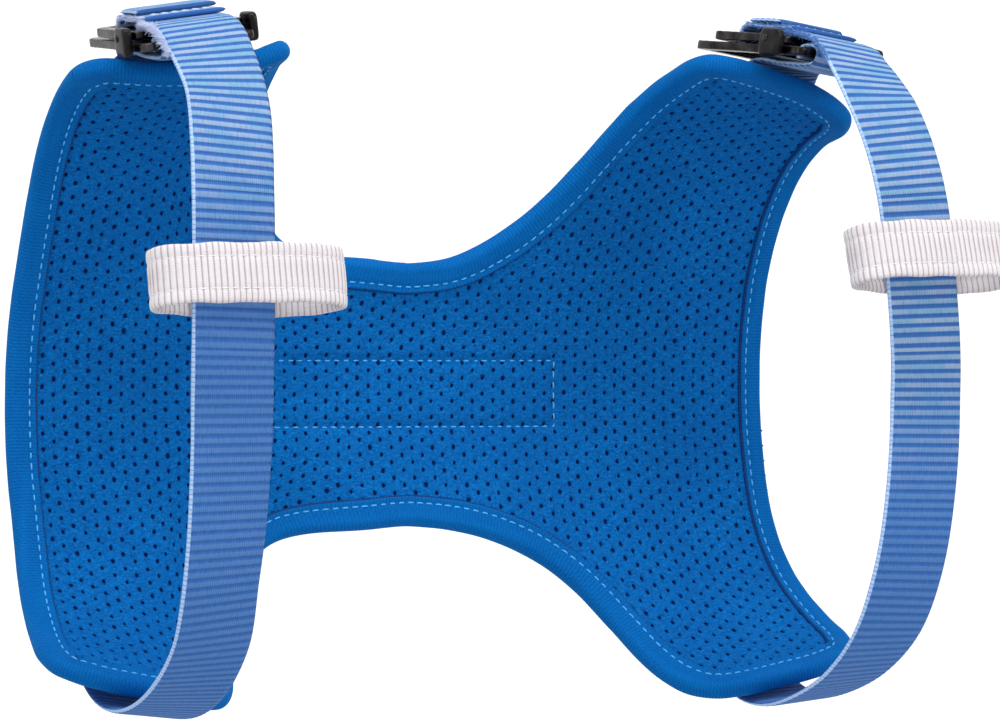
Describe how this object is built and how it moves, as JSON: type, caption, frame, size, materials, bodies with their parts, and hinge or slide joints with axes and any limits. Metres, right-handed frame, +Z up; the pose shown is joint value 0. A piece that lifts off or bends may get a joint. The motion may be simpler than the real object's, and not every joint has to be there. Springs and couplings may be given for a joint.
{
  "type": "child chest harness",
  "caption": "Padded H-shaped back panel with two adjustable webbing shoulder loops, double-back buckles and white textile chest rings.",
  "frame": {"origin": "centre of the outer face of the flat strip sewn across the back", "axes": "+X across the back, +Y away from the wearer's back, +Z up towards the neck"},
  "size_m": [0.282, 0.1423, 0.2049],
  "materials": {
    "shell_fabric": "matte woven",
    "foam": "soft closed-cell foam",
    "mesh_fabric": "perforated knit mesh",
    "binding_tape": "ribbed knit tape",
    "webbing": "ribbed woven webbing",
    "white_tape": "ribbed white tape",
    "buckle_metal": "blackened, satin",
    "thread": "twisted thread"
  },
  "bodies": {
    "harness": {"outer_shell": "shell_fabric", "foam_pad": "foam", "mesh_lining": "mesh_fabric", "edge_binding": "binding_tape", "back_strip": "webbing", "shoulder_strap_left": "webbing", "back_webbing_left": "webbing", "buckle_frame_left": "buckle_metal", "lower_bar_tack_left": "thread", "upper_bar_tack_left": "thread", "shoulder_strap_right": "webbing", "back_webbing_right": "webbing", "buckle_frame_right": "buckle_metal", "lower_bar_tack_right": "thread", "upper_bar_tack_right": "thread"},
    "locking_plate_left": {"locking_plate_left": "buckle_metal", "strap_tail_left": "webbing"},
    "chest_ring_left": {"chest_ring_left": "white_tape"},
    "locking_plate_right": {"locking_plate_right": "buckle_metal", "strap_tail_right": "webbing"},
    "chest_ring_right": {"chest_ring_right": "white_tape"}
  },
  "joints": [
    {"name": "plate_tip_left", "type": "hinge", "parent": "harness", "child": "locking_plate_left", "pos_m": [-0.1049, -0.0765, 0.1039], "axis": [0.9808, -0.1362, 0.1395], "range_deg": [0, 18]},
    {"name": "ring_slide_left", "type": "slide", "parent": "harness", "child": "chest_ring_left", "axis": [0.0442, 0.0845, 0.9954], "range_m": [-0.012, 0.012]},
    {"name": "plate_tip_right", "type": "hinge", "parent": "harness", "child": "locking_plate_right", "pos_m": [0.1049, -0.0765, 0.1024], "axis": [0.9808, 0.1362, -0.1395], "range_deg": [0, 18]},
    {"name": "ring_slide_right", "type": "slide", "parent": "harness", "child": "chest_ring_right", "axis": [-0.0508, 0.0834, 0.9952], "range_m": [-0.012, 0.012]}
  ]
}
